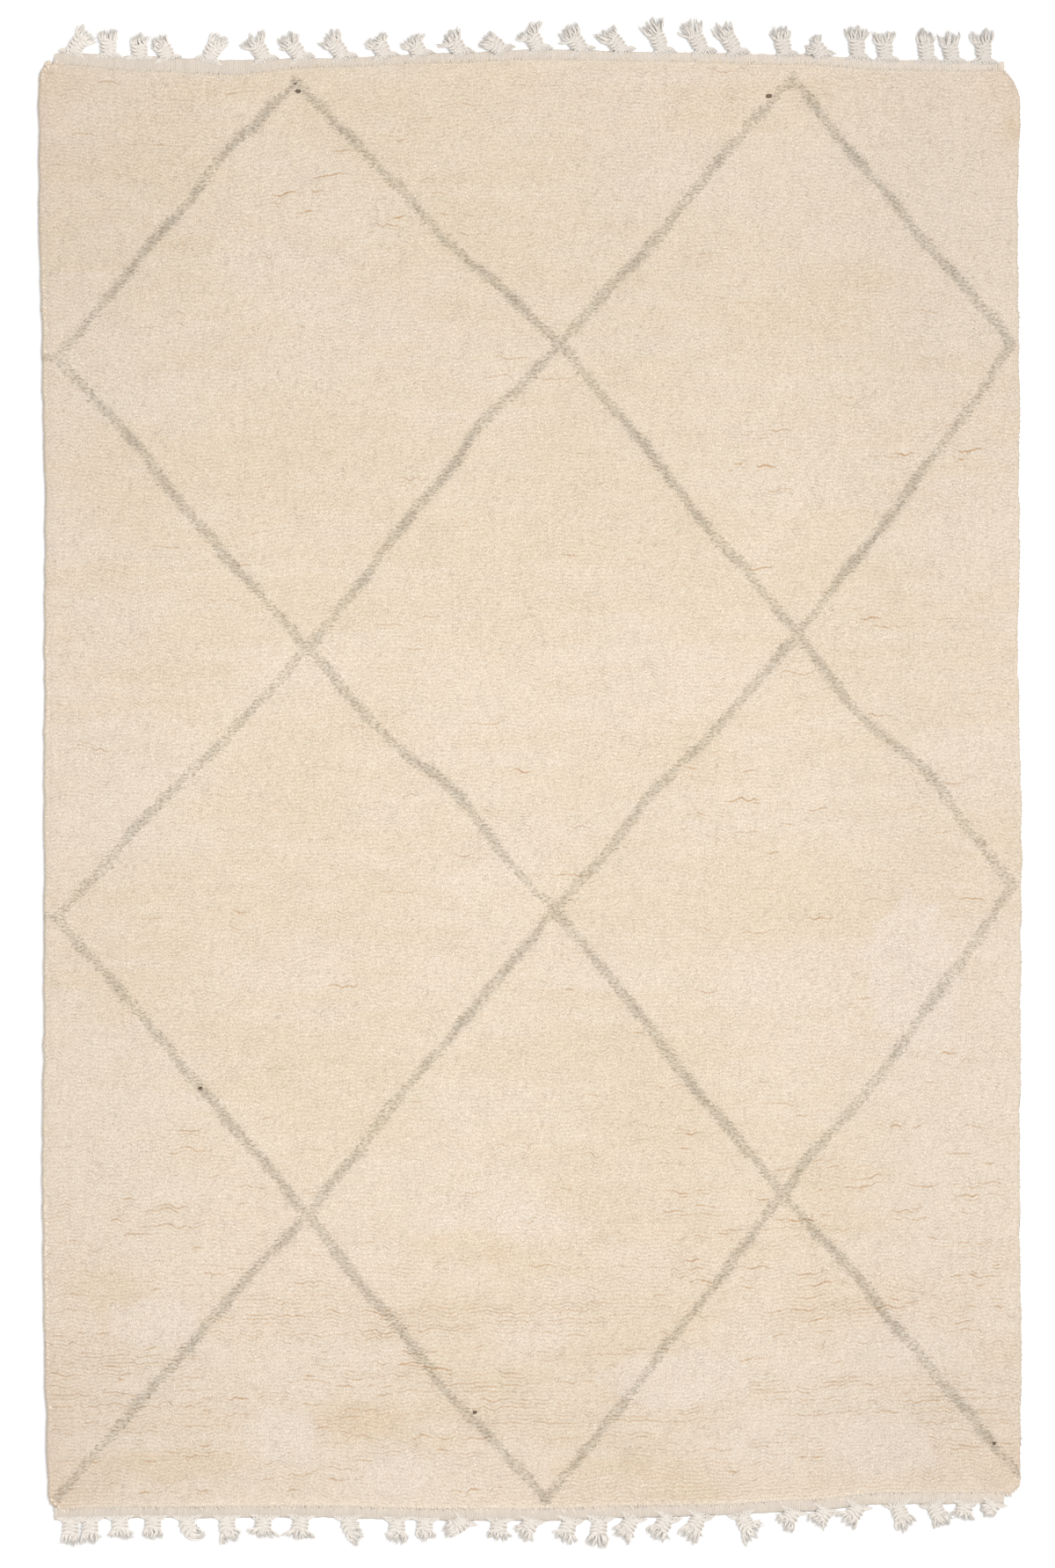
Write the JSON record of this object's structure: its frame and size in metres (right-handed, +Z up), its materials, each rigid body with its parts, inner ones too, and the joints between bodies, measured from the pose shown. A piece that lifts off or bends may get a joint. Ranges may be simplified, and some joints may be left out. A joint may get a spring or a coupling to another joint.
{
  "type": "beni ourain rug",
  "caption": "Flat hand-knotted wool rug with a cream pile, a grey diamond lattice, flat-woven end bands and short plaited tassels",
  "frame": {"origin": "on the floor under the middle of the rug's bounding box, fringe included", "axes": "+X across the rug, +Y along its length towards the upper end of the picture, +Z up out of the pile"},
  "size_m": [2.0144, 3.1343, 0.0184],
  "materials": {
    "pile_wool": "clipped wool pile, matt",
    "warp_yarn": "undyed wool yarn, matt"
  },
  "bodies": {
    "root": {"pile_field": "pile_wool", "end_band_top": "warp_yarn", "end_band_bottom": "warp_yarn"}
  },
  "joints": []
}
